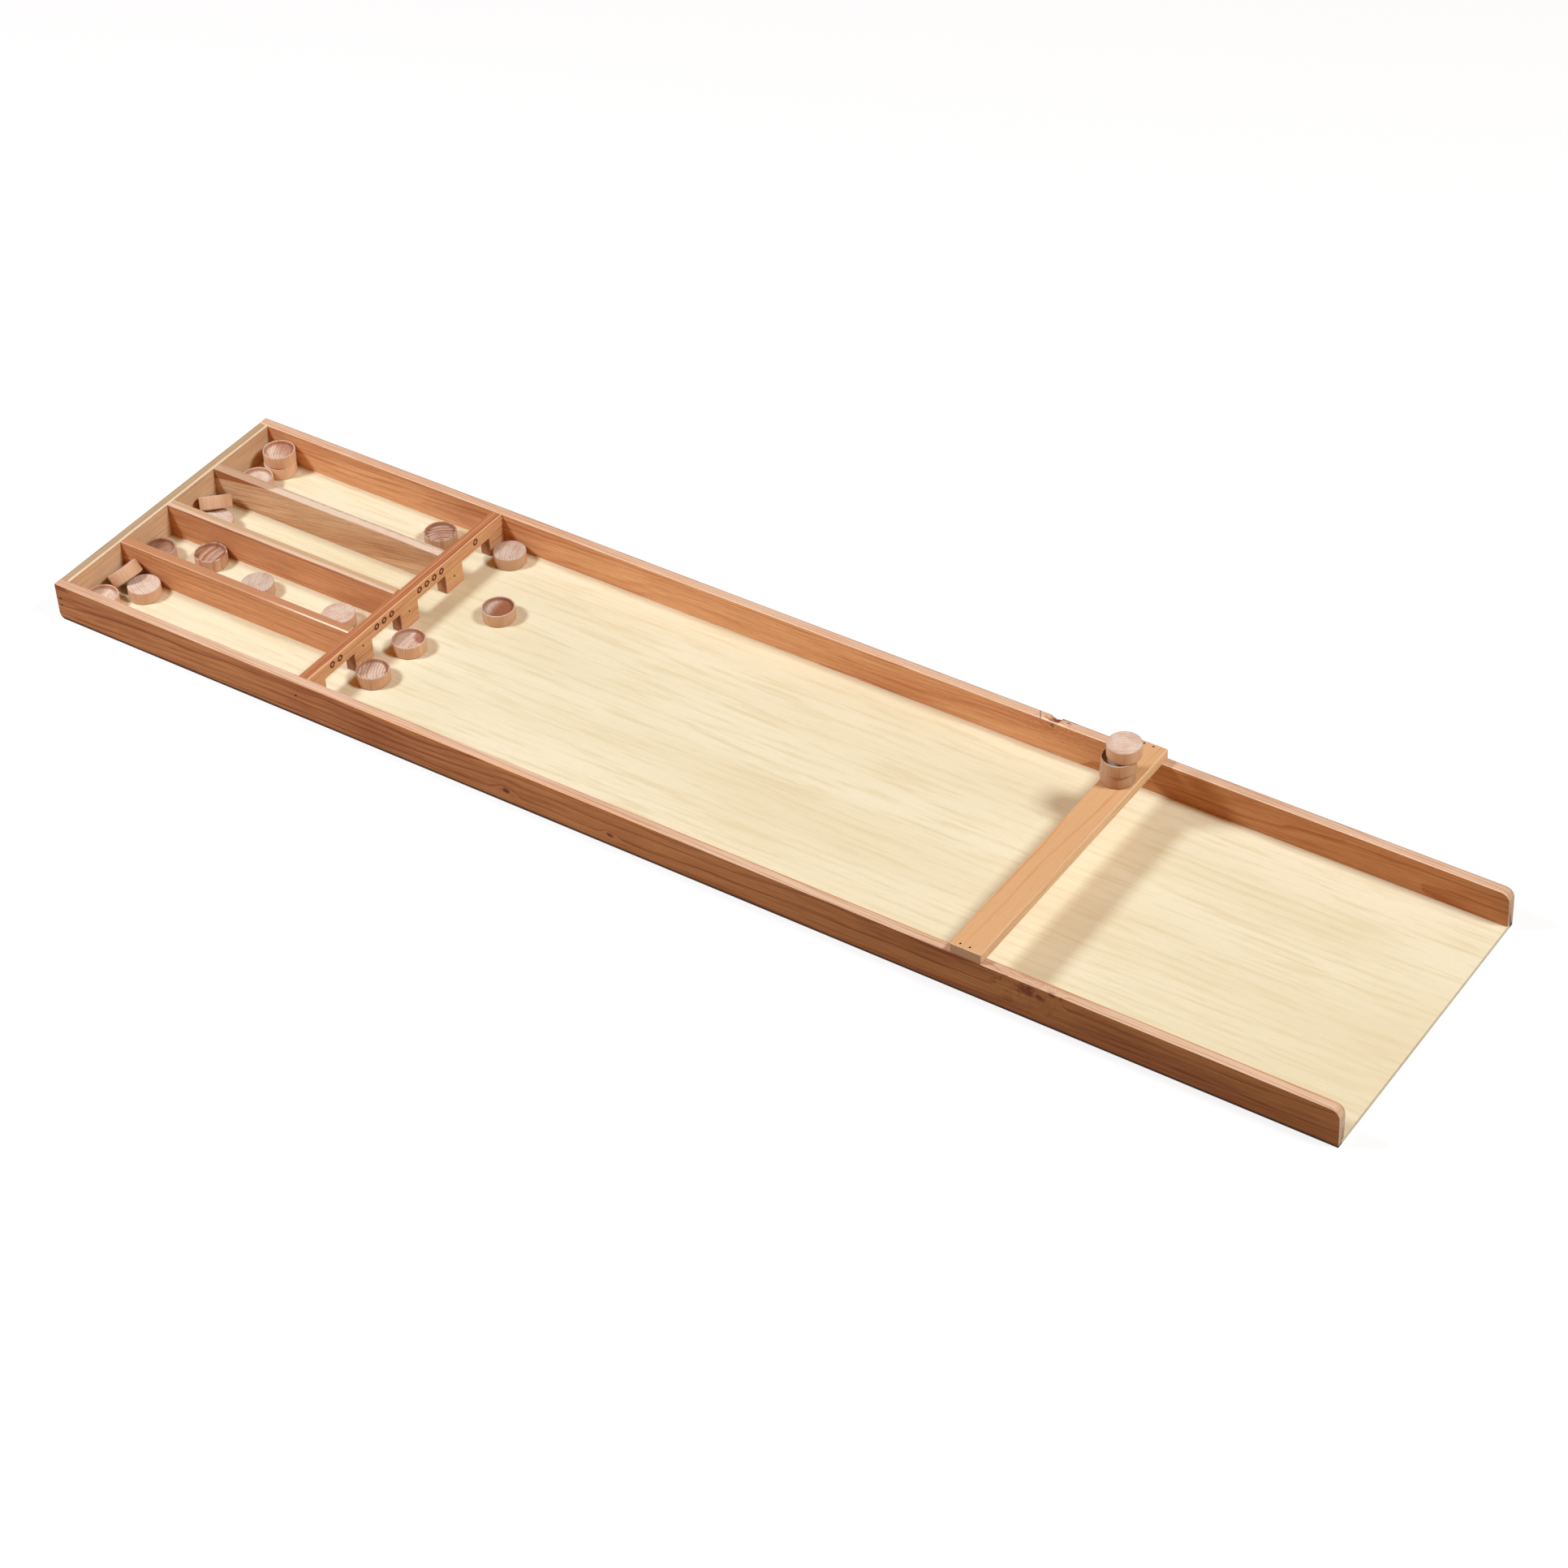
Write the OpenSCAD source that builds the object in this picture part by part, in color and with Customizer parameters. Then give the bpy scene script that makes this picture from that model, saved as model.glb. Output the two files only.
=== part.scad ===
// Dutch shuffleboard: a long wooden tray with a gate bar, scoring bays, a start bar and loose discs.
// Millimetres. The player stands at the +X end, the end wall is at the -X end and +Z is up.
// The origin is at the middle of the underside.

/* [Board] */
// Length of the board
board_l = 1750; // [1500:10:2200]
// Width of the board over the rails
board_w = 400; // [380:5:460]
// Thickness of the base panel, which is also the playing surface
base_t = 5.5; // [4:0.5:8]
// How far the panel's edges are let into the rails and the end wall
rebate_w = 5; // [4:0.5:8]

/* [Rails and end wall] */
// Thickness of a side rail
rail_t = 12.5; // [10:0.5:18]
// Height of the rails and the end wall, from the underside
rail_h = 51; // [48:0.5:60]
// Radius of a rail's top corner at the player's end
rail_end_r = 11; // [4:1:20]
// Radius of the lower corner at the end wall, on the rails and the end wall alike
heel_r = 8; // [2:1:12]
// Thickness of the end wall
end_wall_t = 13; // [10:0.5:18]

/* [Gate bar] */
// From the end wall's outer face to the back of the gate bar
gate_bar_x = 369; // [330:1:420]
// Thickness of the gate bar
gate_bar_t = 15; // [12:0.5:20]
// Width of one gate
gate_w = 54; // [50:0.5:60]
// Height of the gates above the playing surface
gate_h = 27; // [22:0.5:29]
// Width of the post between a rail and the first gate
end_post_w = 28.5; // [22:0.5:34]

/* [Score marks] */
// Outer diameter of a stamped ring
ring_od = 9; // [6:0.5:10]
// Diameter of the wood left standing inside a ring
ring_id = 4; // [2:0.5:5]
// Depth of a stamped ring
ring_depth = 0.6; // [0.3:0.1:1]
// Distance from ring to ring
ring_pitch = 14.3; // [11:0.1:16]
// From the top of the gate bar down to the middle of the rings
ring_down = 7; // [6:0.5:9]

/* [Dividers] */
// Thickness of a divider
divider_t = 12.5; // [10:0.5:18]
// Gap left between a divider's end and the gate bar
divider_gap = 1.5; // [0:0.5:3]

/* [Start bar] */
// From the player's end of the board to the start bar
start_bar_from_end = 433; // [300:1:500]
// Width of the start bar
start_bar_w = 40; // [36:1:60]
// Thickness of the start bar
start_bar_t = 14; // [10:0.5:20]

/* [Discs] */
// Diameter of a disc
disc_d = 41; // [36:0.5:44]
// Thickness of a disc
disc_h = 17; // [12:0.5:19]
// Diameter of the hollow in a disc's top at its mouth
dish_d = 38; // [28:0.5:38.5]
// Depth of the hollow
dish_depth = 6; // [2:0.5:8]
// How much narrower the hollow is at its floor, on each side
dish_slope = 2; // [1:0.5:4]
// Chamfer on a disc's edges
disc_edge = 0.8; // [0.3:0.1:1.5]
// Air left between a loose disc and whatever is beside or below it
disc_gap = 0.3; // [0.2:0.1:0.6]
// From the far end of the start bar to the middle of the stack that stands on it
stack_in = 73; // [60:1:110]
// Slope of the disc that leans in the two-point bay, in degrees
two_point_lean = 41; // [36:1:44]
// Slope of the disc that leans in the four-point bay, in degrees
four_point_lean = 35.5; // [34:0.5:40]

/* [Nails] */
// Shank diameter of a frame nail
nail_d = 1.8; // [1.4:0.1:2.4]
// Head diameter of a frame nail
nail_head_d = 2.6; // [2.5:0.1:3.4]
// Length of a frame nail
nail_l = 28; // [24:1:32]
// How deep the nail heads are punched below the surface
nail_sink = 1.5; // [0.5:0.1:2.5]
// Height of a nail head
nail_head_h = 1; // [0.6:0.1:1.5]
// From the top of a rail down to the upper nail in a corner
corner_nail_down = 19.5; // [16:0.5:21]
// Distance between the two nails in a corner
corner_nail_pitch = 10; // [8:0.5:11]
// From the top of a rail down to the nail that holds the gate bar
gate_bar_nail_down = 19.5; // [16:0.5:22]
// From the back of the gate bar to the nail that holds its end
gate_bar_nail_in = 3; // [2:0.5:8]
// From the top of the end wall down to the nails that hold the dividers
wall_nail_down = 24; // [18:1:28]
// From a start bar nail to the rail's outer face
start_nail_in = 5; // [4:0.5:6]
// From the start bar's far edge to its first nail
start_nail_first = 11.5; // [8:0.5:14]
// From the first start bar nail to the second
start_nail_pitch = 12; // [8:0.5:16]

/* [Panel pins] */
// Shank diameter of a panel pin
pin_d = 1.4; // [1:0.1:1.8]
// Head diameter of a panel pin
pin_head_d = 2.8; // [2:0.1:3.2]
// Height of a panel pin's head
pin_head_h = 0.8; // [0.5:0.1:1.2]
// Length of a panel pin
pin_l = 14; // [12:0.5:15]
// How deep the pin heads sit in the underside
pin_sink = 0.4; // [0.2:0.1:1]
// Wanted distance between pins along a rail
pin_pitch = 150; // [100:10:250]
// From the board's end to the first and last pin of a rail
pin_end = 40; // [30:1:60]

/* [Hidden] */
$fn = 48;
// The gates from the near rail to the far rail, by the points they score
gate_points = [2, 3, 4, 1];
// The stamped rings sit a little off each gate's centre, as they were struck by hand
ring_shift = [-5, -2, 0, 1];
// The nails through the gate bar into the dividers, from its top down, were not driven at one height
divider_nail_down = [17, 24, 29];

gates = len(gate_points);
inner_w = board_w - 2 * rail_t;
post_w = (inner_w - 2 * end_post_w - gates * gate_w) / (gates - 1);
gate_pitch = gate_w + post_w;
wall_h = rail_h - base_t;
disc_r = disc_d / 2;
cut = 1;

// Places along the board
far_end = -board_l / 2;
player_end = board_l / 2;
wall_face = far_end + end_wall_t;
bar_back = far_end + gate_bar_x;
bar_front = bar_back + gate_bar_t;
start_bar_x = player_end - start_bar_from_end - start_bar_w;
bar_top = rail_h + start_bar_t;

// Places across the board: gates count from 0 at the near rail, and so do bays and dividers
function gate_y(i) = (i - (gates - 1) / 2) * gate_pitch;
function divider_y(i) = gate_y(i) + gate_pitch / 2;
function bay_near_side(i) = i == 0 ? -inner_w / 2 : divider_y(i - 1) + divider_t / 2;
function bay_far_side(i) = i == gates - 1 ? inner_w / 2 : divider_y(i) - divider_t / 2;

// How a disc leans with one edge on the board and its underside on the rim of another disc:
// the distance between their middles, seen from above, and the height of the leaning one's middle
function lean_reach(a) = disc_r + (disc_h + disc_gap) / tan(a) - disc_r * cos(a) + disc_h / 2 * sin(a);
function lean_z(a) = disc_h / 2 * cos(a) + disc_r * sin(a);

// A disc that tips over takes up no more than this to each side of its middle
tipped_r = norm([disc_r, disc_h / 2]);

// In the two-point bay a disc leans almost straight at the end wall
two_point_way = 177;
two_point_reach = lean_reach(two_point_lean);
two_point_leaner = [
    wall_face + disc_r * cos(two_point_lean) + disc_h / 2 * sin(two_point_lean) + 1.6,
    bay_far_side(0) - tipped_r - disc_gap
];
two_point_seat = two_point_leaner - two_point_reach * [cos(two_point_way), sin(two_point_way)];

// In the four-point bay it leans across the corner, less so where the bay is too narrow for it
four_point_reach = lean_reach(four_point_lean);
four_point_near = bay_near_side(2) + disc_r + 3;
four_point_room = bay_far_side(2) - tipped_r - disc_gap - four_point_near;
four_point_way = 180 - asin(min(sin(47), four_point_room / four_point_reach));
four_point_leaner = [
    wall_face + tipped_r + disc_gap,
    four_point_near + four_point_reach * sin(four_point_way)
];
four_point_seat = four_point_leaner - four_point_reach * [cos(four_point_way), sin(four_point_way)];

// The lowest disc of the stack in the far corner, and of the one on the start bar
corner_stack = [wall_face + 33, bay_far_side(3) - disc_r - disc_gap];
bar_stack = [start_bar_x + 17, board_w / 2 - stack_in];
on_board = base_t + disc_gap;
layer = disc_h + disc_gap;

// Every disc as it lies: name, x, y, height of its underside, and whether the hollow is on top.
// A leaning disc also has the way it leans and its slope, and its height is that of its middle.
DISCS = [
    ["disc_two_point_1", two_point_seat.x, two_point_seat.y, on_board, false],
    ["disc_two_point_2", two_point_leaner.x, two_point_leaner.y - tipped_r - disc_r - 1, on_board, true],
    ["disc_two_point_3", two_point_leaner.x, two_point_leaner.y,
        on_board + lean_z(two_point_lean), true, two_point_way, two_point_lean],
    ["disc_three_point_1", wall_face + disc_r + 0.5, gate_y(1) - 8, on_board, true],
    ["disc_three_point_2", wall_face + 82, bay_far_side(1) - disc_r - disc_gap, on_board, true],
    ["disc_three_point_3", wall_face + 171, gate_y(1) - 1, on_board, false],
    ["disc_three_point_4", bar_back - 61, gate_y(1) + 2, on_board, false],
    ["disc_four_point_1", four_point_seat.x, four_point_seat.y, on_board, false],
    ["disc_four_point_2", four_point_leaner.x, four_point_leaner.y,
        on_board + lean_z(four_point_lean), true, four_point_way, four_point_lean],
    ["disc_one_point_1", corner_stack.x, corner_stack.y, on_board, false],
    ["disc_one_point_2", corner_stack.x + 1, corner_stack.y, on_board + layer, true],
    ["disc_one_point_3", corner_stack.x - 3, corner_stack.y - disc_d - 1, on_board, true],
    ["disc_one_point_4", bar_back - 55.5, gate_y(3) + 19, on_board, true],
    ["disc_field_1", bar_front + 27, gate_y(0) + 26, on_board, true],
    ["disc_field_2", bar_front + 28, gate_y(1) + 6, on_board, true],
    ["disc_field_3", bar_front + 83, gate_y(2) + 22, on_board, true],
    ["disc_field_4", bar_front + 27, inner_w / 2 - disc_r - 4, on_board, false],
    ["disc_on_bar_1", bar_stack.x, bar_stack.y, bar_top + disc_gap, true],
    ["disc_on_bar_2", bar_stack.x + 2, bar_stack.y - 1, bar_top + disc_gap + layer, true],
    ["disc_on_bar_3", bar_stack.x + 6, bar_stack.y + 4, bar_top + disc_gap + 2 * layer, false]
];

// A nail with its head at the top and its point down. room is the wood above the head that is open.
module nail(room = 0) {
    translate([0, 0, -nail_head_h])
        cylinder(d = nail_head_d, h = nail_head_h + room);
    translate([0, 0, -nail_l])
        cylinder(d = nail_d, h = nail_l);
}

// A panel pin, drawn the same way
module pin(room = 0) {
    translate([0, 0, -pin_head_h])
        cylinder(d = pin_head_d, h = pin_head_h + room);
    translate([0, 0, -pin_l])
        cylinder(d = pin_d, h = pin_l);
}

// Each of these puts its children at the nails of one joint, with +Z out of the wood
module at_corner_nails() {
    for (side = [-1, 1], step = [0, 1])
        translate([far_end + end_wall_t / 2, side * (board_w / 2 - nail_sink),
                   rail_h - corner_nail_down - step * corner_nail_pitch])
            rotate([side * -90, 0, 0])
                children();
}

module at_gate_bar_nails() {
    for (side = [-1, 1])
        translate([bar_back + gate_bar_nail_in, side * (board_w / 2 - nail_sink), rail_h - gate_bar_nail_down])
            rotate([side * -90, 0, 0])
                children();
}

module at_divider_nails() {
    for (i = [0 : gates - 2]) {
        translate([bar_front - nail_sink, divider_y(i), rail_h - divider_nail_down[i]])
            rotate([0, 90, 0])
                children();
        translate([far_end + nail_sink, divider_y(i), rail_h - wall_nail_down])
            rotate([0, -90, 0])
                children();
    }
}

module at_start_bar_nails() {
    for (side = [-1, 1], step = [0, 1])
        translate([start_bar_x + start_nail_first + step * start_nail_pitch,
                   side * (board_w / 2 - start_nail_in), bar_top - nail_sink])
            children();
}

module at_pin(x, y) {
    translate([x, y, pin_sink])
        rotate([180, 0, 0])
            children();
}

module at_panel_pins() {
    gaps = round((board_l - 2 * pin_end) / pin_pitch);
    step = (board_l - 2 * pin_end) / gaps;
    for (side = [-1, 1], i = [0 : gaps])
        at_pin(far_end + pin_end + i * step, side * (inner_w + rebate_w) / 2)
            children();
    for (side = [-1, 1])
        at_pin(bar_back + gate_bar_t / 2, side * (inner_w - end_post_w) / 2)
            children();
    for (i = [0 : gates - 2]) {
        at_pin(bar_back + gate_bar_t / 2, divider_y(i))
            children();
        at_pin(wall_face - rebate_w / 2, divider_y(i))
            children();
        for (part = [0.3, 0.7])
            at_pin(wall_face + part * (bar_back - wall_face), divider_y(i))
                children();
    }
}

// The space of the sheet, whose edges go into the rails and the end wall from below
module panel_sheet(under = 0) {
    translate([wall_face - rebate_w, -inner_w / 2 - rebate_w, -under])
        cube([player_end - wall_face + rebate_w + under, inner_w + 2 * rebate_w, base_t + under]);
}

module base_panel() {
    color([0.95, 0.87, 0.68])
        difference() {
            panel_sheet();
            at_panel_pins() pin(cut);
        }
}

// A square corner of wood, with the quarter round that is left of it taken out
module corner_waste(r) {
    difference() {
        square(r + cut);
        circle(r);
    }
}

// A rail or the end wall seen from the side, with the lower corner at the far end rounded
module side_outline(length) {
    difference() {
        square([length, rail_h]);
        translate([heel_r, heel_r])
            rotate(180)
                corner_waste(heel_r);
    }
}

module rail(outer_y) {
    color([0.80, 0.52, 0.33])
        difference() {
            translate([far_end, outer_y, 0])
                rotate([90, 0, 0])
                    linear_extrude(rail_t)
                        difference() {
                            side_outline(board_l);
                            translate([board_l - rail_end_r, rail_h - rail_end_r])
                                corner_waste(rail_end_r);
                        }
            panel_sheet(cut);
            at_corner_nails() nail(nail_sink + cut);
            at_gate_bar_nails() nail(nail_sink + cut);
            at_start_bar_nails() nail();
            at_panel_pins() pin();
        }
}

module near_rail() rail(rail_t - board_w / 2);

module far_rail() rail(board_w / 2);

module end_wall() {
    color([0.86, 0.66, 0.46])
        difference() {
            translate([far_end, inner_w / 2, 0])
                rotate([90, 0, 0])
                    linear_extrude(inner_w)
                        side_outline(end_wall_t);
            panel_sheet(cut);
            at_corner_nails() nail();
            at_divider_nails() nail(nail_sink + cut);
            at_panel_pins() pin();
        }
}

// The ring of crushed wood that a punch leaves, cut into the front of the gate bar
module stamped_ring() {
    rotate([0, 90, 0])
        difference() {
            translate([0, 0, -ring_depth])
                cylinder(d = ring_od, h = ring_depth + cut);
            translate([0, 0, -ring_depth - cut])
                cylinder(d = ring_id, h = ring_depth + 3 * cut);
        }
}

module score_marks() {
    for (i = [0 : gates - 1], k = [0 : gate_points[i] - 1])
        translate([bar_front,
                   gate_y(i) + ring_shift[i] + (k - (gate_points[i] - 1) / 2) * ring_pitch,
                   rail_h - ring_down])
            stamped_ring();
}

module gate_bar() {
    color([0.76, 0.46, 0.28])
        difference() {
            translate([bar_back, -inner_w / 2, base_t])
                cube([gate_bar_t, inner_w, wall_h]);
            for (i = [0 : gates - 1])
                translate([bar_back - cut, gate_y(i) - gate_w / 2, base_t - cut])
                    cube([gate_bar_t + 2 * cut, gate_w, gate_h + cut]);
            score_marks();
            at_gate_bar_nails() nail();
            at_divider_nails() nail(nail_sink + cut);
            at_panel_pins() pin();
        }
}

module divider(i) {
    difference() {
        translate([wall_face, divider_y(i) - divider_t / 2, base_t])
            cube([bar_back - divider_gap - wall_face, divider_t, wall_h]);
        at_divider_nails() nail();
        at_panel_pins() pin();
    }
}

module divider_near() color([0.78, 0.49, 0.30]) divider(0);

module divider_middle() color([0.78, 0.48, 0.31]) divider(1);

module divider_far() color([0.85, 0.64, 0.43]) divider(2);

module start_bar() {
    color([0.90, 0.70, 0.50])
        difference() {
            translate([start_bar_x, -board_w / 2, rail_h])
                cube([start_bar_w, board_w, start_bar_t]);
            at_start_bar_nails() nail(nail_sink + cut);
        }
}

module corner_nails() color("dimgray") at_corner_nails() nail();

module gate_bar_nails() color("dimgray") at_gate_bar_nails() nail();

module divider_nails() color("dimgray") at_divider_nails() nail();

module start_bar_nails() color("dimgray") at_start_bar_nails() nail();

module panel_pins() color("dimgray") at_panel_pins() pin();

// A turned disc, standing on its flat running face, with the hollow in its top
module disc() {
    rotate_extrude()
        polygon([
            [0, 0],
            [disc_r - disc_edge, 0],
            [disc_r, disc_edge],
            [disc_r, disc_h - disc_edge],
            [disc_r - disc_edge, disc_h],
            [dish_d / 2, disc_h],
            [dish_d / 2 - dish_slope, disc_h - dish_depth],
            [0, disc_h - dish_depth]
        ]);
}

module turned_disc(hollow_up) {
    if (hollow_up)
        disc();
    else
        translate([0, 0, disc_h])
            rotate([180, 0, 0])
                disc();
}

module placed_disc(d) {
    color([0.86, 0.72, 0.62])
        translate([d[1], d[2], d[3]])
            if (len(d) > 5)
                rotate([0, 0, d[5]])
                    rotate([0, d[6], 0])
                        translate([0, 0, -disc_h / 2])
                            turned_disc(d[4]);
            else
                turned_disc(d[4]);
}

base_panel();
near_rail();
far_rail();
end_wall();
gate_bar();
divider_near();
divider_middle();
divider_far();
start_bar();
corner_nails();
gate_bar_nails();
divider_nails();
start_bar_nails();
panel_pins();
for (d = DISCS)
    placed_disc(d);
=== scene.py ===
import math

import bmesh
import bpy
from mathutils import Matrix, Vector


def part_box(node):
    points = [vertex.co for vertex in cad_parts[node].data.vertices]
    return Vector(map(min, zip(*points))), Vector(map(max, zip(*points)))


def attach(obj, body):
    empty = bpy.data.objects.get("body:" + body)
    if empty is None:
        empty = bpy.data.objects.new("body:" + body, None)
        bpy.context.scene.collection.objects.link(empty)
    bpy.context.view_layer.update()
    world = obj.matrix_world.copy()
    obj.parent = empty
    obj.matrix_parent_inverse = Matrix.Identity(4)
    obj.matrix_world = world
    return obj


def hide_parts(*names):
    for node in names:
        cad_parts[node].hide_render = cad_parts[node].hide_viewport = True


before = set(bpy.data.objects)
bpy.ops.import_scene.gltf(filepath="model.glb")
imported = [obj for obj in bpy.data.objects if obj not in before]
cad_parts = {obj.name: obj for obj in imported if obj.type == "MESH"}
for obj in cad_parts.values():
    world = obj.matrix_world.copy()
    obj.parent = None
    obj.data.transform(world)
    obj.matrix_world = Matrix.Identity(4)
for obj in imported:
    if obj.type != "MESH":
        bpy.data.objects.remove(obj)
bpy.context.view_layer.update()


# The base panel is one thin sheet of pale birch plywood that the discs run on. Its edges lie in
# rebates of the rails and the end wall, it is pinned to them from below, and its top is sanded,
# sealed and waxed to a dull shine.
def new_finish(name):
    finish = bpy.data.materials.new(name)
    finish.use_nodes = True
    tree = finish.node_tree
    tree.nodes.clear()
    surface = tree.nodes.new("ShaderNodeBsdfPrincipled")
    output = tree.nodes.new("ShaderNodeOutputMaterial")
    tree.links.new(surface.outputs["BSDF"], output.inputs["Surface"])
    return finish, tree, surface


def join(tree, source, target):
    tree.links.new(source, target)


def placed_coords(tree, shift=(0, 0, 0)):
    coords = tree.nodes.new("ShaderNodeTexCoord")
    mapping = tree.nodes.new("ShaderNodeMapping")
    mapping.inputs["Location"].default_value = shift
    join(tree, coords.outputs["Object"], mapping.inputs["Vector"])
    return mapping.outputs["Vector"]


def stretched(tree, vector, stretch):
    scale = tree.nodes.new("ShaderNodeVectorMath")
    scale.operation = "MULTIPLY"
    join(tree, vector, scale.inputs[0])
    scale.inputs[1].default_value = stretch
    return scale.outputs["Vector"]


def cloudy(tree, vector, stretch, detail=3.0, rough=0.55):
    """Cloudy patches, as many to the metre along each axis as stretch says."""
    noise = tree.nodes.new("ShaderNodeTexNoise")
    noise.inputs["Scale"].default_value = 1.0
    noise.inputs["Detail"].default_value = detail
    noise.inputs["Roughness"].default_value = rough
    join(tree, stretched(tree, vector, stretch), noise.inputs["Vector"])
    return noise.outputs["Fac"]


def spread(tree, value, low, high, out_low=0.0, out_high=1.0):
    """Carries a value from low..high to out_low..out_high, with soft ends."""
    node = tree.nodes.new("ShaderNodeMapRange")
    node.inputs["From Min"].default_value = low
    node.inputs["From Max"].default_value = high
    node.inputs["To Min"].default_value = out_low
    node.inputs["To Max"].default_value = out_high
    node.interpolation_type = "SMOOTHSTEP"
    join(tree, value, node.inputs["Value"])
    return node.outputs["Result"]


def srgb(red, green, blue):
    """Turns a colour measured from 0 to 255 on a screen into linear light."""
    def linear(c):
        c = c / 255
        return c / 12.92 if c <= 0.04045 else ((c + 0.055) / 1.055) ** 2.4
    return (linear(red), linear(green), linear(blue), 1)


def blended(tree, amount, first, second, kind="MIX"):
    node = tree.nodes.new("ShaderNodeMix")
    node.data_type = "RGBA"
    node.blend_type = kind
    if isinstance(amount, (int, float)):
        node.inputs["Factor"].default_value = amount
    else:
        join(tree, amount, node.inputs["Factor"])
    for letter, value in (("A", first), ("B", second)):
        socket = [s for s in node.inputs if s.name == letter and s.type == "RGBA"][0]
        if isinstance(value, tuple):
            socket.default_value = value
        else:
            join(tree, value, socket)
    return [s for s in node.outputs if s.type == "RGBA"][0]


def raised(tree, surface, height, depth):
    bump = tree.nodes.new("ShaderNodeBump")
    bump.inputs["Strength"].default_value = 1.0
    bump.inputs["Distance"].default_value = depth
    join(tree, height, bump.inputs["Height"])
    join(tree, bump.outputs["Normal"], surface.inputs["Normal"])


def sheet_wood():
    pale, warmer = srgb(241, 227, 195), srgb(233, 217, 182)
    streak_tone, fibre_tone = srgb(224, 205, 163), srgb(216, 194, 154)
    finish, tree, surface = new_finish("waxed_birch")
    coords = placed_coords(tree)
    broad = cloudy(tree, coords, (1.6, 9, 9))
    streak = cloudy(tree, coords, (9, 150, 150), 4.0, 0.6)
    fibre = cloudy(tree, coords, (60, 1100, 1100), 2.0)
    colour = blended(tree, spread(tree, broad, 0.35, 0.7), pale, warmer)
    colour = blended(tree, spread(tree, streak, 0.44, 0.7, 0, 0.7), colour, streak_tone)
    colour = blended(tree, spread(tree, fibre, 0.5, 0.75, 0, 0.25), colour, fibre_tone)
    join(tree, colour, surface.inputs["Base Color"])
    join(tree, spread(tree, streak, 0.3, 0.7, 0.36, 0.48), surface.inputs["Roughness"])
    surface.inputs["Specular IOR Level"].default_value = 0.25
    surface.inputs["Coat Weight"].default_value = 0.06
    surface.inputs["Coat Roughness"].default_value = 0.25
    raised(tree, surface, streak, 0.0002)
    return finish


def finished(node, finish):
    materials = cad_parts[node].data.materials
    materials.clear()
    materials.append(finish)


finished("base_panel", sheet_wood())


# The two rails are long planks on edge, planed and varnished, their arrises rubbed round with
# paper. Each has its top corner rounded at the board's open end, and the panel's edge goes into
# a rebate near its foot.
weld = 0.00001  # points closer than this are one point


def cleaned_shape(node):
    """A CAD piece's mesh with its doubled points welded and each flat face made whole."""
    shape = bmesh.new()
    shape.from_mesh(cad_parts[node].data)
    bmesh.ops.remove_doubles(shape, verts=shape.verts, dist=weld)
    bmesh.ops.dissolve_limit(shape, angle_limit=0.01, verts=shape.verts, edges=shape.edges)
    return shape


def wooden_piece(node, shape, sharp_from):
    """The piece that shows a node: a smooth mesh, sharp where faces meet at more degrees."""
    bmesh.ops.recalc_face_normals(shape, faces=shape.faces)
    mesh = bpy.data.meshes.new(node + "_wood")
    shape.to_mesh(mesh)
    shape.free()
    for polygon in mesh.polygons:
        polygon.use_smooth = True
    mesh.set_sharp_from_angle(angle=math.radians(sharp_from))
    piece = bpy.data.objects.new(node + "_piece", mesh)
    bpy.context.scene.collection.objects.link(piece)
    return piece


plank_sharp = 32  # degrees


def rubbed_copy(node, radius, to_round):
    """A copy of a CAD piece with the arrises rounded at which to_round(point) is true."""
    shortest, least_fold = 0.0009, 0.7
    shape = cleaned_shape(node)
    arrises = []
    for edge in shape.edges:
        if len(edge.link_faces) == 2 and edge.calc_length() > shortest and edge.is_convex:
            middle = (edge.verts[0].co + edge.verts[1].co) / 2
            if edge.calc_face_angle() > least_fold and to_round(middle):
                arrises.append(edge)
    bmesh.ops.bevel(shape, geom=arrises, offset=radius, offset_type="OFFSET", segments=3,
                    profile=0.5, affect="EDGES", clamp_overlap=True)
    piece = wooden_piece(node, shape, plank_sharp)
    piece.modifiers.new("flat_faces", "WEIGHTED_NORMAL").keep_sharp = True
    return piece


def sums(tree, kind, first, second=0):
    node = tree.nodes.new("ShaderNodeMath")
    node.operation = kind
    for slot, value in ((0, first), (1, second)):
        if isinstance(value, (int, float)):
            node.inputs[slot].default_value = value
        else:
            join(tree, value, node.inputs[slot])
    return node.outputs["Value"]


def length_of(tree, vector):
    node = tree.nodes.new("ShaderNodeVectorMath")
    node.operation = "LENGTH"
    join(tree, vector, node.inputs[0])
    return node.outputs["Value"]


def parts_of(tree, vector):
    node = tree.nodes.new("ShaderNodeSeparateXYZ")
    join(tree, vector, node.inputs["Vector"])
    return node.outputs


def swayed(tree, vector, size, stretch, detail, reach):
    """Pushes a vector about by up to reach, because no tree grows quite straight."""
    noise = tree.nodes.new("ShaderNodeTexNoise")
    noise.inputs["Scale"].default_value = size
    noise.inputs["Detail"].default_value = detail
    join(tree, stretched(tree, vector, stretch), noise.inputs["Vector"])
    bend = tree.nodes.new("ShaderNodeVectorMath")
    bend.operation = "MULTIPLY_ADD"
    join(tree, noise.outputs["Color"], bend.inputs[0])
    bend.inputs[1].default_value = reach
    join(tree, vector, bend.inputs[2])
    return bend.outputs["Vector"]


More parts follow.
